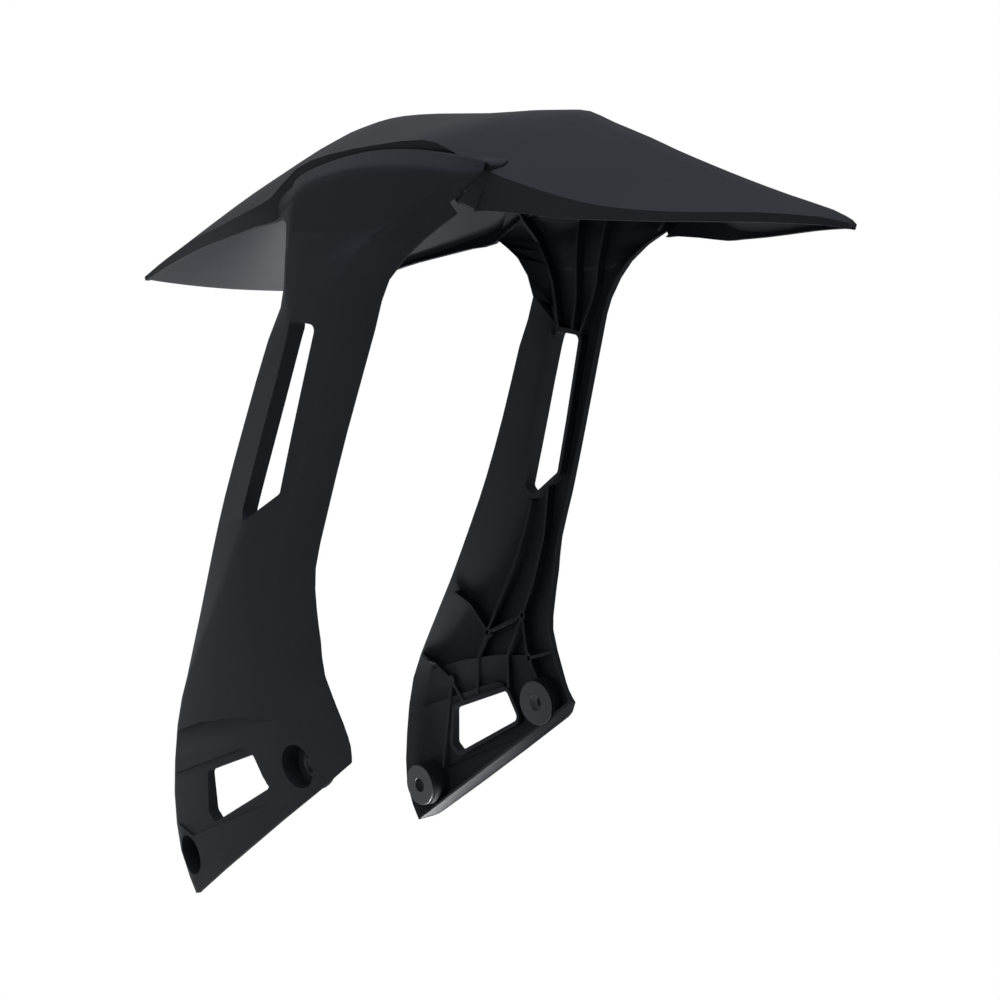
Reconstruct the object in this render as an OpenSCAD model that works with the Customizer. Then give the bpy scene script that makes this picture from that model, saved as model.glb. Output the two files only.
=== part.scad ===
/* [Blade] */
// Thickness of the moulded skin
skin = 2.5; // [2:0.1:3.5]
// Height of the crown above the upper bolt line at its highest point
crown_h = 314; // [306:1:322]
// Half width of the blade over its shoulders
blade_half_w = 75; // [72:0.5:78]
// How far the tail reaches behind the upper bolt line
tail_reach = 232; // [215:1:245]
// How far the front corners reach ahead of the upper bolt line
front_reach = 170; // [160:1:180]
// How far the middle of the front edge bows ahead of its corners
front_bow = 17; // [8:1:24]

/* [Legs] */
// Half spread of the outer faces at the lower end of the slots
leg_half_spread = 102; // [100:0.5:106]
// Length of each slot measured along the leg
slot_len = 93; // [70:1:100]
// Width of each slot at its upper end
slot_w = 18; // [14:0.5:20]
// Radius of the slot corners
slot_r = 3; // [1:0.5:5]
// Thickness of the ribs inside the legs
rib_t = 1.8; // [1.4:0.1:2.5]
// Depth of the ribs, measured from the outer face of the leg
rib_depth = 8; // [7:0.5:10]
// Thickness of the rims round slots, windows and lower edges
rim_t = 2.6; // [2:0.1:3.5]

/* [Feet] */
// Distance of the lower bolt ahead of the upper bolt
bolt_ahead = 100; // [96:0.5:104]
// Distance of the lower bolt below the upper bolt
bolt_drop = 72; // [70:0.5:75]
// How far the collar faces lie inside the leg spread, at the upper bolts
upper_seat_in = 28.5; // [26:0.5:31]
// How far the collar faces lie inside the leg spread, at the lower bolts
lower_seat_in = 30; // [28:0.5:32]
// Diameter of the sunk hole for the bolt head
counterbore_d = 21; // [18:0.5:22]
// Thickness of the floor that the bolt clamps
floor_t = 3.5; // [3:0.5:4.5]
// Wall of the boss round each sunk hole
boss_wall = 2.6; // [2:0.1:3]

/* [Collars] */
// Diameter of the collar flange
flange_d = 25; // [22:0.5:26]
// Thickness of the collar flange
flange_t = 2; // [1.5:0.1:3]
// Outer diameter of the collar sleeve
sleeve_d = 13; // [11:0.5:14]
// Bore of the collar for the bolt
bore_d = 8.4; // [6.4:0.1:9]
// Clearance between sleeve and hole, on the radius
sleeve_gap = 0.2; // [0.1:0.05:0.4]
// How far the sleeve stands past the clamped floor
sleeve_proud = 0.5; // [0.2:0.1:1]

/* [Hidden] */

$fn = 48;
// Places are [half width, ahead, up] from the middle of the line through the upper bolts.
// Smoothing steps between two stations of the blade, and of a leg
blade_steps = 2;
leg_steps = 2;
room_steps = 1;
// How far ribs reach into the skin
wall_lap = 0.5;
// Distance from a fold at which its rounding starts
fold_r = 3;
// Half spread of the collar faces
upper_seat_x = leg_half_spread - upper_seat_in;
lower_seat_x = leg_half_spread - lower_seat_in;
// Half widths between which shapes are drawn out sideways, past both sides of a leg
in_x = leg_half_spread - 52;
out_x = leg_half_spread + 28;

// Blade stations from the tail to the front edge:
// [ahead, crown height, shoulder half width, shoulder height, lip half width, lip height, roundness]
blade_stations = [
    [-232, crown_h - 75,    3,                 237.6,  2,                 235.5, 1.1],
    [-224, crown_h - 70.5,  blade_half_w - 65, 240,    blade_half_w - 66.4, 237.2, 1.1],
    [-205, crown_h - 63,    blade_half_w - 54, 242.4,  blade_half_w - 55.2, 239,   1.1],
    [-186, crown_h - 55,    blade_half_w - 44, 243.4,  blade_half_w - 45.2, 240,   1.1],
    [-169, crown_h - 47.4,  blade_half_w - 35, 244.8,  blade_half_w - 36.2, 241,   1.1],
    [-152, crown_h - 39.5,  blade_half_w - 26, 247.6,  blade_half_w - 27.4, 242.3, 1.15],
    [-138, crown_h - 32.5,  blade_half_w - 18, 252,    blade_half_w - 19.6, 243.5, 1.2],
    [-118, crown_h - 23.3,  blade_half_w - 9,  260,    blade_half_w - 14,   247,   1.25],
    [-104, crown_h - 16.5,  blade_half_w - 5,  267,    blade_half_w - 12,   249,   1.3],
    [ -92, crown_h - 14,    blade_half_w - 2,  274,    blade_half_w - 10,   251,   1.35],
    [ -80, crown_h - 12.5,  blade_half_w,      278.5,  blade_half_w - 2.5,  268,   1.4],
    [ -52, crown_h - 9.5,   blade_half_w + .5, 280.5,  blade_half_w - 2,    271,   1.45],
    [ -16, crown_h - 4,     blade_half_w + .5, 281,    blade_half_w - 2,    272,   1.5],
    [  10, crown_h - 0.8,   blade_half_w,      278,    blade_half_w - 2,    268,   1.5],
    [  30, crown_h,         blade_half_w + 1,  267,    blade_half_w - 2.5,  257,   1.5],
    [  49, crown_h - 2.5,   blade_half_w + 1,  263,    blade_half_w - 2.7,  255.6, 1.5],
    [  84, crown_h - 12,    blade_half_w,      257,    blade_half_w - 4,    252,   1.5],
    [ 106, crown_h - 21,    blade_half_w - 1,  254,    blade_half_w - 4.5,  249.4, 1.5],
    [ 140, crown_h - 41,    blade_half_w - 3.5, 246.5, blade_half_w - 5.6,  243.5, 1.5],
    [ 158, crown_h - 60,    blade_half_w - 5.2, 242,   blade_half_w - 6.4,  239.5, 1.5],
    [ 170, crown_h - 75,    blade_half_w - 6.6, 239,   blade_half_w - 7,    237,   1.5]
];
// Places ahead of the upper bolt line from which the tail and the front stretch with their reach
tail_from = -118;
front_from = 49;
// Points across half of the blade's upper slope
slope_points = 7;

// Leg stations from the foot to the shoulder, each with the places of its front edge,
// front fold, rear fold and rear edge, and how far the face bulges [out, ahead, up]
ls = leg_half_spread;
leg_stations = [
    [[ls - 22, 109, -98],   [ls - 15, 97, -93],     [ls - 18.5, -19, -4.5], [ls - 25.5, -28, 5.5], [2, 0, 0]],
    [[ls - 20.5, 122, -78], [ls - 14, 109, -73],    [ls - 16.5, -14, 7],   [ls - 27.5, -25, 12],   [3, 0, 0]],
    [[ls - 18.5, 124, -45], [ls - 12, 110, -38],    [ls - 15, -7, 18],     [ls - 27, -20, 22],     [3.5, 0, 0]],
    [[ls - 18, 118, -8],    [ls - 10, 103, 0],      [ls - 13.5, 1, 33],    [ls - 24.4, -10, 43],   [3.5, 0, 0]],
    [[ls - 16.5, 103, 25],  [ls - 6.5, 84, 32],     [ls - 11, 2.5, 48],    [ls - 22.5, -9.5, 60],  [3, 0, 0]],
    [[ls - 14.5, 85, 60],   [ls - 3, 58, 62],       [ls - 8, 3.5, 68],     [ls - 20, -10, 76],     [2, 0, 0]],
    [[ls - 13, 68, 96],     [ls - 1, 33, 96],       [ls - 6, 1, 94],       [ls - 19, -11.5, 95],   [1, 0, 0]],
    [[ls - 12.7, 55, 124],  [ls - 2, 17, 122],      [ls - 7, -7, 117],     [ls - 19.8, -20, 121],  [0, 0, 0]],
    [[ls - 14.5, 39, 160],  [ls - 6, 5, 160],       [ls - 9.5, -20, 158],  [ls - 22.7, -32, 158],  [0, 0, 0]],
    [[ls - 18, 22, 200],    [ls - 10.5, -6, 200],   [ls - 13, -34, 204],   [ls - 27.3, -47, 203],  [0, 0, 0]],
    [[ls - 22, 9, 227],     [ls - 12, 1, 222],      [ls - 14, -41, 223],   [ls - 29, -55, 224],    [0, 0, 0]],
    [[ls - 28, 15, 248],    [ls - 14, 1, 244],      [ls - 20, -54, 240],   [ls - 34, -72, 240],    [0, 0, 0]],
    [[ls - 29.5, 28, 259],  [ls - 15.5, 0, 257],    [ls - 25.5, -88, 254], [ls - 38, -91, 250],    [0, 0, 2]],
    [[ls - 28, 26, 266],    [ls - 16, -6, 266],     [ls - 29, -114, 264],  [ls - 41, -100, 257],   [0, 0, 6.3]],
    [[ls - 34, 14, 277],    [ls - 35, 6, 283],      [ls - 49, -103, 270],  [ls - 51, -96, 264],    [0, 0, 2]]
];

// Slot corners, upper front one first, from the slot's own length and width
slot_top = [-6, 208];
slot_front_dir = [0.332, -0.943];
slot_rear_dir = [0.27, -0.963];
slot_tip = slot_top + slot_len * slot_front_dir;
slot_rear = slot_top + [-slot_w, -3];
slot_low = slot_rear + (slot_len - 15) * slot_rear_dir;
slot_outline = [slot_top, slot_rear, slot_low, slot_tip + [-3, -5.5], slot_tip];

// The lower bolt, and the window and its recess, which lie between the two bolts
lower_bolt = [bolt_ahead, -bolt_drop];
window_outline = [
    [bolt_ahead - 20, 51 - bolt_drop], [34, -1], [21, -15],
    [bolt_ahead - 26, 25 - bolt_drop], [bolt_ahead - 20, 29 - bolt_drop]
];
recess_outline = [
    [bolt_ahead + 34, 33 - bolt_drop], [44, -0.5], [40, -0.5], [19.5, -16], [19.5, -22],
    [bolt_ahead - 5, 12 - bolt_drop], [bolt_ahead + 34, 18 - bolt_drop]
];
// The rim along the lower edge of the foot
foot_edge = [[112, -112], [-40, 4], [-40, 15 + rim_t], [112, rim_t - 102]];
// Half width of the recess floor, and of the shallow dish round both bolts
recess_x = leg_half_spread - 14;
dish_x = leg_half_spread - 12.2;
dish_outline = [
    [130, -10], [104, -4], [76, 7], [43, 16], [12, 20.5], [-5, 18.5], [-14, 12], [-22, 0],
    [-24, -20], [120, -125], [140, -60]
];

// The gap between the rear end of the side panel and the tail of the blade
gap_outline = [[-113, 269], [-108.5, 260], [-95, 246], [-86, 246], [-97, 262], [-102, 269]];
gap_x = leg_half_spread - 32;
gap_in_x = leg_half_spread - 44;

// Ribs on the inner side as [ahead, up] lines: the fan over the slot, then those below it
fan_ribs = [
    [[-8, 205], [-5, 234], [8, 272]],
    [[-18, 206], [-23, 229], [-31, 275]],
    [[-24, 205], [-39, 232], [-54, 272]]
];
boss_a = [55, 30];
boss_b = [24, 45];
boss_c = [14, 22];
boss_d = [84, -4];
leg_ribs = [
    [[22, 112], [33, 79], [44, 56], boss_a, [61, 14], [60, -8]],
    [[6, 124], [10, 91], [17, 64], boss_b, [34, 20], [32, 1]],
    [boss_a, boss_b],
    [boss_b, boss_c, [4, 10]],
    [boss_c, [-14, 32]],
    [boss_a, [80, 52]],
    [[112, 10], boss_d, [72, -16]],
    [boss_d, [88, -60]]
];
// Outer diameter and bore of the four small bosses on the ribs
pin_boss_d = 6;
pin_boss_bore = 3;
// Each boss with how far inside the leg spread its blind bore ends
pin_bosses = [[boss_a, 10.5], [boss_b, 13], [boss_c, 16], [boss_d, 17.5]];

function last(v) = v[len(v) - 1];
function unit(v) = v / max(norm(v), 0.001);
function flip(v) = [for (i = [len(v) - 1:-1:0]) v[i]];

// One point of a smooth line through four given ones
function curve(a, b, c, d, t) =
    0.5 * (2 * b + (c - a) * t + (2 * a - 5 * b + 4 * c - d) * t * t
        + (3 * b - a - 3 * c + d) * t * t * t);
function smooth(rows, steps) = concat(
    [for (i = [0:len(rows) - 2]) for (k = [0:steps - 1])
        curve(rows[max(i - 1, 0)], rows[i], rows[i + 1],
            rows[min(i + 2, len(rows) - 1)], k / steps)],
    [last(rows)]
);

// Corners of a closed outline as arcs of radius r
function rounded(pts, r, steps = 4) = [
    for (i = [0:len(pts) - 1])
        let (p = pts[i],
            u = unit(pts[(i + len(pts) - 1) % len(pts)] - p),
            v = unit(pts[(i + 1) % len(pts)] - p),
            half = acos(u * v) / 2,
            reach = r / tan(half),
            centre = p + unit(u + v) * r / sin(half),
            from = p + u * reach - centre,
            side = sign(cross(u, v)),
            sweep = 180 - 2 * half)
        for (k = [0:steps])
            let (a = -side * sweep * k / steps)
            centre + [from.x * cos(a) - from.y * sin(a), from.x * sin(a) + from.y * cos(a)]
];

// The closed outline moved outwards by t, or inwards where t is negative
function turn(pts) = sign([for (i = [0:len(pts) - 1])
    cross(pts[i], pts[(i + 1) % len(pts)])] * [for (p = pts) 1]);
function grown(pts, t) = let (s = turn(pts), n = len(pts)) [
    for (i = [0:n - 1])
        let (a = unit(pts[i] - pts[(i + n - 1) % n]), b = unit(pts[(i + 1) % n] - pts[i]),
            na = s * [a.y, -a.x], nb = s * [b.y, -b.x])
        pts[i] + t * (na + nb) / (1 + na * nb)
];

// The open line moved to its left by t, looking along it
function moved(pts, t) = let (n = len(pts)) [
    for (i = [0:n - 1])
        let (a = unit(pts[max(i, 1)] - pts[max(i, 1) - 1]),
            b = unit(pts[min(i, n - 2) + 1] - pts[min(i, n - 2)]),
            na = [-a.y, a.x], nb = [-b.y, b.x])
        pts[i] + t * (na + nb) / (1 + na * nb)
];
function strip(pts, t) = concat(moved(pts, t / 2), flip(moved(pts, -t / 2)));

// A body between rings of points, with each end closed by a strip across its ring
module loft(rings) {
    n = len(rings[0]);
    rows = len(rings);
    half = n / 2;
    polyhedron(
        points = [for (ring = rings) for (p = ring) p],
        faces = concat(
            [for (i = [0:rows - 2]) for (j = [0:n - 1])
                let (a = i * n + j, b = i * n + (j + 1) % n) each [[a, b, b + n], [a, b + n, a + n]]],
            [for (j = [0:half - 2])
                let (a = j, b = j + 1, c = n - 2 - j, d = n - 1 - j) each [[d, c, b], [d, b, a]]],
            [for (j = [0:half - 2])
                let (o = (rows - 1) * n, a = j, b = j + 1, c = n - 2 - j, d = n - 1 - j)
                each [[o + a, o + b, o + c], [o + a, o + c, o + d]]]
        ),
        convexity = 6
    );
}

// A flat outline in [ahead, up] drawn out sideways from half width a to b
module sideways(pts, a, b) {
    translate([a, 0, 0])
        rotate([90, 0, 90])
            linear_extrude(b - a) polygon(pts);
}

// The place of a station ahead of the upper bolt line, with the tail and the front stretched
function placed(y) =
    y < tail_from
        ? tail_from + (y - tail_from) * (tail_reach + tail_from) / (tail_from - blade_stations[0][0])
    : y > front_from
        ? front_from + (y - front_from) * (front_reach - front_from) / (last(blade_stations)[0] - front_from)
    : y;

// Upper outline of one blade station, from its left lip to its right lip
function blade_line(s, t) =
    let (ahead = placed(s[0]), crown = s[1] - t, w = max(s[2] - t, 0.5), h = s[3] - t * 0.6,
        lip_w = max(s[4] - t, 0.3), lip_h = s[5],
        bow = front_bow * pow(max(ahead, 0) / front_reach, 3),
        half = concat(
            [for (k = [0:slope_points - 1])
                let (u = k / slope_points) [u * w, crown - (crown - h) * pow(u, s[6])]],
            [[w, h], [lip_w, lip_h]]))
    concat(
        [for (p = flip(half)) [-p.x, ahead + bow * (1 - pow(p.x / lip_w, 2)), p.y]],
        [for (i = [1:len(half) - 1]) let (p = half[i])
            [p.x, ahead + bow * (1 - pow(p.x / lip_w, 2)), p.y]]
    );

module blade() {
    loft([for (s = smooth(blade_stations, blade_steps))
        concat(flip(blade_line(s, 0)), blade_line(s, skin))]);
}

// Outer line of one leg station from its front edge to its rear edge, with folds rounded by r
function leg_line(s, r) =
    let (f = s[0], a = s[1], b = s[2], e = s[3], m = (2 * a + b) / 3 + s[4], n = (a + 2 * b) / 3 + s[4],
        near = function (p, q) p + unit(q - p) * min(r, norm(q - p) / 3))
    r > 0 ? [f, near(a, f), near(a, m), m, n, near(b, n), near(b, e), e] : [f, a, m, n, b, e];

// The same line moved into the wall by t
function leg_line_in(s, r, t) =
    let (line = leg_line(s, r), flat = moved([for (p = line) [p.x, p.y]], -t))
    [for (i = [0:len(line) - 1]) [flat[i].x, flat[i].y, line[i].z - t * s[4].z / 9]];

module leg_skin() {
    loft([for (s = smooth(leg_stations, leg_steps))
        concat(leg_line(s, fold_r), flip(leg_line_in(s, fold_r, skin)))]);
}

// The room inside a leg, up to the plane between its edges or to half width x
module leg_room(x) {
    loft([for (s = smooth(leg_stations, room_steps))
        let (line = leg_line_in(s, 0, skin - wall_lap), n = len(line) - 1,
            back = [for (i = [0:n]) let (k = i / n, p = line[0] * (1 - k) + line[n] * k)
                [is_undef(x) ? p.x : x, p.y, p.z]])
        concat(line, flip(back))]);
}

// The layer behind the skin in which the ribs lie
module leg_band() {
    loft([for (s = smooth(leg_stations, room_steps))
        concat(leg_line_in(s, 0, skin - 2 * wall_lap), flip(leg_line_in(s, 0, rib_depth)))]);
}

// A short round bar in the line of the bolts, out to half width x
module pin(place, d, x) {
    translate([in_x, place.x, place.y])
        rotate([0, 90, 0]) cylinder(d = d, h = x - in_x, $fn = 12);
}

module leg_inside() {
    intersection() {
        leg_room();
        leg_band();
        union() {
            for (line = concat(fan_ribs, leg_ribs))
                sideways(strip(line, rib_t), in_x, out_x);
            sideways(rounded(grown(slot_outline, rim_t), slot_r + rim_t, 3), in_x, out_x);
            sideways(rounded(grown(window_outline, rim_t), slot_r + rim_t, 3), in_x, out_x);
            sideways(grown(recess_outline, rim_t), recess_x - skin, out_x);
            sideways(grown(dish_outline, rim_t), dish_x - skin, out_x);
            for (b = pin_bosses) pin(b.x, pin_boss_d, out_x);
        }
    }
    intersection() {
        leg_room();
        sideways(foot_edge, in_x, out_x);
    }
}

// The boss stands past its seat until the seat is cut
module bolt_boss(place, seat_x) {
    translate([seat_x, place.x, place.y])
        rotate([0, 90, 0])
            cylinder(d = counterbore_d + 2 * boss_wall, h = out_x - seat_x, $fn = 36);
}

// The sunk hole for the bolt head, the hole for the sleeve and the seat for the flange
module bolt_cuts(place, seat_x) {
    translate([seat_x + flange_t + floor_t, place.x, place.y])
        rotate([0, 90, 0]) cylinder(d = counterbore_d, h = out_x - seat_x);
    translate([in_x, place.x, place.y])
        rotate([0, 90, 0]) {
            cylinder(d = sleeve_d + 2 * sleeve_gap, h = out_x - in_x);
            cylinder(d = counterbore_d + 2 * boss_wall + 1, h = seat_x + flange_t - in_x);
        }
}

module leg() {
    difference() {
        union() {
            leg_skin();
            leg_inside();
            intersection() {
                leg_room(in_x);
                union() {
                    bolt_boss([0, 0], upper_seat_x);
                    bolt_boss(lower_bolt, lower_seat_x);
                }
            }
        }
        sideways(rounded(slot_outline, slot_r), in_x, out_x);
        sideways(rounded(window_outline, slot_r), in_x, out_x);
        sideways(recess_outline, recess_x, out_x);
        sideways(dish_outline, dish_x, out_x);
        for (b = pin_bosses) pin(b.x, pin_boss_bore, leg_half_spread - b.y);
    }
}

// Joins its children into one moulded body, with their sizes as they are
module moulded() {
    resize([0, 0, 0]) union() children();
}

// The blade and both legs in one, open at the rear end of each side panel
module shell() {
    difference() {
        union() {
            blade();
            leg();
            mirror([1, 0, 0]) leg();
        }
        for (side = [0, 1]) mirror([side, 0, 0]) sideways(gap_outline, gap_in_x, gap_x);
    }
}

module mudguard() {
    color("#23282c")
        difference() {
            moulded() shell();
            for (side = [0, 1]) mirror([side, 0, 0]) {
                bolt_cuts([0, 0], upper_seat_x);
                bolt_cuts(lower_bolt, lower_seat_x);
            }
        }
}

// A flanged steel collar that lines a bolt hole from the inner side
module collar(place, seat_x) {
    color("#55585b")
        translate([seat_x, place.x, place.y])
            rotate([0, 90, 0])
                difference() {
                    union() {
                        cylinder(d = flange_d, h = flange_t);
                        cylinder(d = sleeve_d, h = flange_t + floor_t + sleeve_proud);
                    }
                    translate([0, 0, -1])
                        cylinder(d = bore_d, h = flange_t + floor_t + sleeve_proud + 2);
                }
}

module right_upper_collar() { collar([0, 0], upper_seat_x); }
module right_lower_collar() { collar(lower_bolt, lower_seat_x); }
module left_upper_collar() { mirror([1, 0, 0]) right_upper_collar(); }
module left_lower_collar() { mirror([1, 0, 0]) right_lower_collar(); }

mudguard();
left_upper_collar();
left_lower_collar();
right_upper_collar();
right_lower_collar();
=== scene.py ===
import math

import bmesh
import bpy
from mathutils import Matrix, Vector


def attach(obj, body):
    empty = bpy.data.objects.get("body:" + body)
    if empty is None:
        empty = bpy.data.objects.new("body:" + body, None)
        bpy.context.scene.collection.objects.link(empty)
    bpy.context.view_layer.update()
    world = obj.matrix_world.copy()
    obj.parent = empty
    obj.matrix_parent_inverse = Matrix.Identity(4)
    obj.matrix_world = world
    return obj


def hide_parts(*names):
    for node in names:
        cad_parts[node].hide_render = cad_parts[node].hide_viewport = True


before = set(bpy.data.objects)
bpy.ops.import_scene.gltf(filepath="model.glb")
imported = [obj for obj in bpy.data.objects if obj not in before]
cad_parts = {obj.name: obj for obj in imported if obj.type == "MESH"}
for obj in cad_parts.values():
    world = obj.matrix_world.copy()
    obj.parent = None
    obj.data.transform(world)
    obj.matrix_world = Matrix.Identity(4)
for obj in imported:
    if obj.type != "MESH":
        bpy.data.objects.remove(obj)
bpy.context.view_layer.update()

MM = 0.001

# Mudguard
# The blade and both legs are one injection moulding in black polypropylene.
# Its skin is about 2.5 mm thick, with a fine moulded grain.
# It is held by four bolts through the collars in its feet.

SMOOTH_BELOW = math.radians(33)
EDGE_ROUND = 0.35 * MM
# An edge just past the smooth ones is rounded a little, and one this much sharper in full
FULLY_ROUND_AFTER = math.radians(25)
# Along the middle of the blade its crest stays soft down to the tail
CREST_WIDTH = 0.5 * MM
FLAT_WITHIN = math.radians(0.6)
SAME_POINT_WITHIN = 0.004 * MM


def merged_copy(node, name):
    """The node's loose triangles as one closed mesh in a new object at the origin."""
    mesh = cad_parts[node].data.copy()
    bm = bmesh.new()
    bm.from_mesh(mesh)
    bmesh.ops.remove_doubles(bm, verts=bm.verts, dist=SAME_POINT_WITHIN)
    bmesh.ops.dissolve_limit(
        bm, angle_limit=FLAT_WITHIN, verts=bm.verts, edges=bm.edges
    )
    bmesh.ops.recalc_face_normals(bm, faces=bm.faces)
    for face in bm.faces:
        face.smooth = True
    rounded = bm.edges.layers.float.new("bevel_weight_edge")
    for edge in bm.edges:
        on_crest = all(abs(vert.co.x) < CREST_WIDTH for vert in edge.verts)
        turn = 0 if on_crest else edge.calc_face_angle(math.pi)
        edge.smooth = turn < SMOOTH_BELOW
        edge[rounded] = min(max((turn - SMOOTH_BELOW) / FULLY_ROUND_AFTER, 0.0), 1.0)
    bm.to_mesh(mesh)
    bm.free()
    mesh.materials.clear()
    piece = bpy.data.objects.new(name, mesh)
    bpy.context.scene.collection.objects.link(piece)
    return piece


def linear(hex_colour):
    """An sRGB hex colour as the linear colour that a socket takes."""
    parts = [int(hex_colour[i : i + 2], 16) / 255 for i in (1, 3, 5)]
    return [c / 12.92 if c < 0.04045 else ((c + 0.055) / 1.055) ** 2.4 for c in parts] + [1]


def add(tree, kind, settings=None, links=None, **sockets):
    """Adds one node with its settings, its sockets' values and the links into it."""
    node = tree.nodes.new(kind)
    for key, value in (settings or {}).items():
        setattr(node, key, value)
    for key, value in sockets.items():
        node.inputs[key.replace("_", " ")].default_value = value
    for key, source in (links or {}).items():
        tree.links.new(source, node.inputs[key])
    return node


def new_material(name):
    """An empty node material, with its tree and the socket of its surface."""
    material = bpy.data.materials.new(name)
    material.use_nodes = True
    tree = material.node_tree
    tree.nodes.clear()
    output = tree.nodes.new("ShaderNodeOutputMaterial")
    return material, tree, output.inputs["Surface"]


# Moulded black polypropylene: a matt face with only a weak, wide shine at grazing angles.
PLASTIC = "#14171a"
PLASTIC_PALER = "#1a1d20"
GRAIN = 0.9 * MM
FLOW = 60 * MM
plastic, tree, surface = new_material("polypropylene_moulded_black")
place = add(tree, "ShaderNodeTexCoord").outputs["Object"]
grain = add(
    tree, "ShaderNodeTexNoise", links={"Vector": place}, Scale=1 / GRAIN, Detail=2.0, Roughness=0.6
)
flow = add(
    tree, "ShaderNodeTexNoise", links={"Vector": place}, Scale=1 / FLOW, Detail=3.0, Roughness=0.5
)
tint = add(
    tree,
    "ShaderNodeMix",
    {"data_type": "RGBA"},
    {"Factor": flow.outputs["Fac"]},
)
tint.inputs[6].default_value = linear(PLASTIC)
tint.inputs[7].default_value = linear(PLASTIC_PALER)
gloss = add(
    tree, "ShaderNodeMapRange", links={"Value": grain.outputs["Fac"]}, To_Min=0.58, To_Max=0.68
)
bump = add(
    tree,
    "ShaderNodeBump",
    links={"Height": grain.outputs["Fac"]},
    Strength=0.22,
    Distance=0.05 * MM,
)
shell = add(
    tree,
    "ShaderNodeBsdfPrincipled",
    links={
        "Base Color": tint.outputs[2],
        "Roughness": gloss.outputs["Result"],
        "Normal": bump.outputs["Normal"],
    },
    IOR=1.49,
    Specular_IOR_Level=0.15,
)
tree.links.new(shell.outputs["BSDF"], surface)

shell_piece = merged_copy("mudguard", "moulded_shell")

# Over each shoulder the moulding swells into a side panel, with a groove between it and the blade.
# Places on the left panel, from its front end to its rear end, as half width, ahead and up in mm:
# a line sunk in the leg's face, the crease over it, the panel's top edge, and the groove's floor.
PANEL = [
    [(86.4, -1.0, 241.0), (88.6, -6.5, 262.0), (81.0, 3.4, 270.6), (75.0, 3.4, 269.0)],
    [(85.7, -8.0, 241.0), (89.2, -11.6, 265.4), (80.0, -1.2, 274.0), (74.0, -1.0, 272.6)],
    [(83.6, -25.0, 239.6), (88.6, -30.2, 268.0), (78.4, -19.4, 277.2), (73.8, -19.4, 276.0)],
    [(81.9, -41.5, 238.6), (87.4, -48.0, 268.8), (77.4, -36.6, 278.4), (73.8, -36.6, 277.2)],
    [(79.8, -57.0, 239.8), (85.2, -64.2, 268.0), (76.8, -54.1, 278.2), (73.5, -54.1, 277.0)],
    [(78.3, -64.8, 244.7), (82.6, -80.4, 266.0), (76.2, -73.0, 276.1), (73.2, -73.0, 274.6)],
    [(76.2, -75.8, 249.1), (80.0, -94.4, 263.8), (75.2, -89.5, 272.9), (72.0, -89.5, 271.0)],
    [(73.8, -87.5, 253.0), (77.2, -103.8, 261.2), (73.8, -101.2, 270.1), (70.2, -101.0, 268.6)],
    [(71.9, -95.0, 255.2), (74.6, -110.2, 260.4), (72.4, -109.8, 268.2), (67.0, -109.0, 266.6)],
    [(70.9, -101.0, 257.4), (72.8, -114.0, 262.0), (71.8, -113.8, 266.2), (65.0, -111.0, 264.5)],
]
PANEL_SUNK = 1.3
PANEL_BACK_RISE = 1
# How sharp the panel's lines stay when it is smoothed: sunk line, crease, top edge, floor, back
PANEL_CREASES = [1.0, 0.4, 0.85, 1.0, 1.0, 1.0]
panel_rings = [
    (
        low,
        crease,
        edge,
        groove,
        (crease[0] - PANEL_SUNK, crease[1], crease[2] + PANEL_BACK_RISE),
        (low[0] - PANEL_SUNK, low[1], low[2]),
    )
    for low, crease, edge, groove in PANEL
]
# The web that closes the gap between the panel's rear tip and the blade, from top to bottom:
# its side under the panel and its side on the blade.
WEB = [
    [(70.0, -96.5, 270.6), (62.5, -102.0, 271.0)],
    [(71.5, -103.0, 268.8), (59.6, -107.6, 269.6)],
    [(71.5, -109.6, 266.6), (56.2, -113.2, 269.0)],
    [(71.0, -112.5, 264.4), (63.4, -114.2, 264.9)],
    [(70.6, -107.8, 260.6), (66.9, -110.2, 261.0)],
    [(70.2, -100.6, 256.2), (65.2, -104.6, 254.2)],
    [(69.3, -94.6, 253.2), (64.2, -100.2, 249.8)],
]
WEB_THICK = 1.5
web_rings = [
    (
        under_panel,
        on_blade,
        (on_blade[0] - WEB_THICK, on_blade[1] + WEB_THICK, on_blade[2]),
        (under_panel[0] - WEB_THICK, under_panel[1] + WEB_THICK, under_panel[2]),
    )
    for under_panel, on_blade in WEB
]
WEB_CREASES = [1.0, 1.0, 1.0, 1.0]
PANEL_SMOOTHING = 3

bm = bmesh.new()
sharp = bm.edges.layers.float.new("crease_edge")
for rings, creases in ((panel_rings, PANEL_CREASES), (web_rings, WEB_CREASES)):
    places = {}
    loops = []
    for row, ring in enumerate(rings):
        verts = [bm.verts.new((-half * MM, ahead * MM, up * MM)) for half, ahead, up in ring]
        places.update({vert: (row, column) for column, vert in enumerate(verts)})
        loops += [bm.edges.new((verts[i - 1], verts[i])) for i in range(len(verts))]
    bmesh.ops.bridge_loops(bm, edges=loops)
    open_ends = [edge for edge in bm.edges if edge.is_boundary]
    bmesh.ops.holes_fill(bm, edges=open_ends, sides=len(creases))
    for edge in bm.edges:
        if all(vert in places for vert in edge.verts):
            (row, column), (other_row, _) = (places[vert] for vert in edge.verts)
            along = row != other_row
            edge[sharp] = creases[column] if along else float(row in (0, len(rings) - 1))
bmesh.ops.recalc_face_normals(bm, faces=bm.faces)
panel_mesh = bpy.data.meshes.new("shoulder_panel")
bm.to_mesh(panel_mesh)
bm.free()
panel = bpy.data.objects.new("shoulder_panel", panel_mesh)
bpy.context.scene.collection.objects.link(panel)
other_side = panel.modifiers.new("other_side", "MIRROR")
other_side.use_mirror_merge = False
smoothing = panel.modifiers.new("smoothing", "SUBSURF")
smoothing.levels = PANEL_SMOOTHING
smoothing.render_levels = PANEL_SMOOTHING

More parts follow.
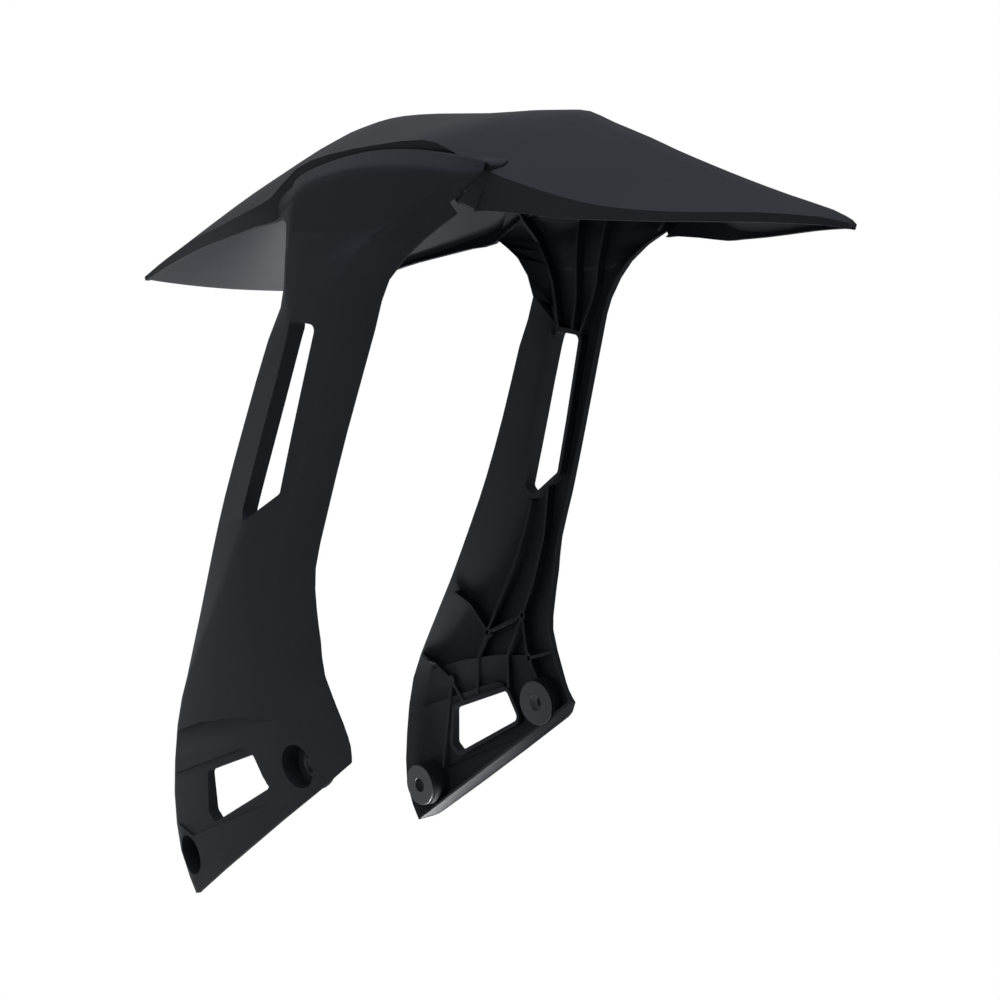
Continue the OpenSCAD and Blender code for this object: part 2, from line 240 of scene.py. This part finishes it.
bm = bmesh.new()
bm.from_mesh(shell_piece.data)
smooth_panel = panel.evaluated_get(bpy.context.evaluated_depsgraph_get())
bm.from_mesh(smooth_panel.to_mesh())
smooth_panel.to_mesh_clear()
bm.to_mesh(shell_piece.data)
bm.free()
bpy.data.objects.remove(panel)
for polygon in shell_piece.data.polygons:
    polygon.use_smooth = True

shell_piece.data.materials.append(plastic)
rounding = shell_piece.modifiers.new("moulded_edges", "BEVEL")
rounding.width = EDGE_ROUND
rounding.segments = 2
rounding.limit_method = "WEIGHT"
rounding.harden_normals = True
rounding.use_clamp_overlap = True
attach(shell_piece, "root")
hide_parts("mudguard")

# Collars
# Four flanged steel sleeves line the bolt holes from the inner side.
# They are turned and finished dark, with a faintly mottled face.

STEEL = "#4a4c4f"
STEEL_DARK = "#36383a"
MOTTLE = 0.7 * MM
TURNED_CHAMFER = 0.35 * MM
steel, tree, surface = new_material("steel_turned_black_plated")
place = add(tree, "ShaderNodeTexCoord").outputs["Object"]
mottle = add(
    tree,
    "ShaderNodeTexNoise",
    links={"Vector": place},
    Scale=1 / MOTTLE,
    Detail=3.0,
    Roughness=0.6,
)
tone = add(tree, "ShaderNodeMix", {"data_type": "RGBA"}, {"Factor": mottle.outputs["Fac"]})
tone.inputs[6].default_value = linear(STEEL_DARK)
tone.inputs[7].default_value = linear(STEEL)
polish = add(
    tree, "ShaderNodeMapRange", links={"Value": mottle.outputs["Fac"]}, To_Min=0.32, To_Max=0.5
)
plating = add(
    tree,
    "ShaderNodeBsdfPrincipled",
    links={"Base Color": tone.outputs[2], "Roughness": polish.outputs["Result"]},
    Metallic=0.85,
)
tree.links.new(plating.outputs["BSDF"], surface)

for side in ("left", "right"):
    for level in ("upper", "lower"):
        node = f"{side}_{level}_collar"
        collar = merged_copy(node, f"{side}_{level}_sleeve")
        collar.data.materials.append(steel)
        chamfer = collar.modifiers.new("turned_chamfer", "BEVEL")
        chamfer.width = TURNED_CHAMFER
        chamfer.segments = 2
        chamfer.limit_method = "WEIGHT"
        chamfer.harden_normals = True
        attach(collar, "root")
        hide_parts(node)

# Studio
# A pale floor, a white backdrop and large soft lights, as in a catalogue picture.

FLOOR_Z = -150 * MM
FLOOR_WIDE = 6000 * MM
# How much of the white that the camera sees shows in the object's reflections
MIRRORED_SHARE = 0.5
paper, tree, surface = new_material("backdrop_paper_white")
seen = add(tree, "ShaderNodeLightPath")
mirrored = add(
    tree,
    "ShaderNodeMath",
    {"operation": "MULTIPLY_ADD"},
    {0: seen.outputs["Is Glossy Ray"], 2: seen.outputs["Is Camera Ray"]},
)
mirrored.inputs[1].default_value = MIRRORED_SHARE
sheen = add(tree, "ShaderNodeBsdfDiffuse", Color=linear("#f4f4f4"))
white = add(tree, "ShaderNodeEmission", Color=(1, 1, 1, 1), Strength=1.0)
both = add(
    tree,
    "ShaderNodeMixShader",
    links={0: mirrored.outputs["Value"], 1: sheen.outputs["BSDF"], 2: white.outputs["Emission"]},
)
tree.links.new(both.outputs["Shader"], surface)
bpy.ops.mesh.primitive_plane_add(size=FLOOR_WIDE, location=(0, 0, FLOOR_Z))
floor = bpy.context.object
floor.name = "floor"
floor.data.materials.append(paper)

world = bpy.data.worlds.new("studio")
world.use_nodes = True
tree = world.node_tree
tree.nodes.clear()
seen = add(tree, "ShaderNodeLightPath")
mirrored = add(
    tree,
    "ShaderNodeMath",
    {"operation": "MULTIPLY_ADD"},
    {0: seen.outputs["Is Glossy Ray"], 2: seen.outputs["Is Camera Ray"]},
)
mirrored.inputs[1].default_value = MIRRORED_SHARE
room = add(tree, "ShaderNodeBackground", Color=linear("#dfe6ee"), Strength=0.16)
backdrop = add(tree, "ShaderNodeBackground", Color=(1, 1, 1, 1), Strength=1.0)
mixed = add(
    tree,
    "ShaderNodeMixShader",
    links={
        0: mirrored.outputs["Value"],
        1: room.outputs["Background"],
        2: backdrop.outputs["Background"],
    },
)
add(tree, "ShaderNodeOutputWorld", links={"Surface": mixed.outputs["Shader"]})
bpy.context.scene.world = world

# Each softbox: name, place, what it aims at, width, height, spread in degrees, power, colour
MIDDLE = (0, -0.02, 0.11)
FRONT_UNDERSIDE = (0.04, 0.17, 0.25)
SOFTBOXES = [
    ("overhead", (-0.45, -0.3, 1.45), MIDDLE, 1.4, 1.4, 180, 23, "#e2efff"),
    ("low_side", (-0.9, -0.15, -0.05), (-0.1, 0.03, -0.03), 0.4, 0.2, 90, 0.45, "#fff0e6"),
    ("low_front", (-0.3, 1.3, 0.05), MIDDLE, 0.8, 0.5, 180, 0.2, "#ffffff"),
    ("floor_bounce", (0.03, 0.12, -0.13), FRONT_UNDERSIDE, 0.12, 0.2, 50, 0.6, "#ffffff"),
]
for name, at, target, wide, high, spread, power, colour in SOFTBOXES:
    lamp = bpy.data.lights.new(name, "AREA")
    lamp.shape = "RECTANGLE"
    lamp.size = wide
    lamp.size_y = high
    lamp.spread = math.radians(spread)
    lamp.energy = power
    lamp.color = linear(colour)[:3]
    box = bpy.data.objects.new(name, lamp)
    box.location = at
    box.rotation_euler = (Vector(target) - Vector(at)).to_track_quat("-Z", "Y").to_euler()
    box.visible_camera = False
    bpy.context.scene.collection.objects.link(box)

# Camera
# It stands where the photograph was taken from, low behind the left leg.

SENSOR = 36
PICTURE_PX = 1000
FOCAL_PX = 1200
# Where lines along the object's X meet, in pixels right of and below the picture's middle
ACROSS_PX = (1250, -120)
# Which way the object's Z runs as the camera sees it: to the right, down and away
UPWARDS = (0, -1, -0.1)
CAMERA_AT = (-400 * MM, -462.2 * MM, 181.2 * MM)
CLIP_NEAR = 10 * MM
CLIP_FAR = 20000 * MM
camera_data = bpy.data.cameras.new("camera")
camera_data.sensor_width = SENSOR
camera_data.lens = SENSOR * FOCAL_PX / PICTURE_PX
camera_data.clip_start = CLIP_NEAR
camera_data.clip_end = CLIP_FAR
camera = bpy.data.objects.new("camera", camera_data)
bpy.context.scene.collection.objects.link(camera)
bpy.context.scene.camera = camera
world_x = Vector((*ACROSS_PX, FOCAL_PX)).normalized()
world_z = Vector(UPWARDS).normalized()
world_y = world_z.cross(world_x)
camera_right = Vector((world_x.x, world_y.x, world_z.x))
camera_down = Vector((world_x.y, world_y.y, world_z.y))
camera_ahead = Vector((world_x.z, world_y.z, world_z.z))
turned = Matrix((camera_right, -camera_down, -camera_ahead)).transposed().to_4x4()
camera.matrix_world = Matrix.Translation(Vector(CAMERA_AT)) @ turned

bpy.context.scene.view_settings.view_transform = "Standard"

bpy.context.view_layer.update()
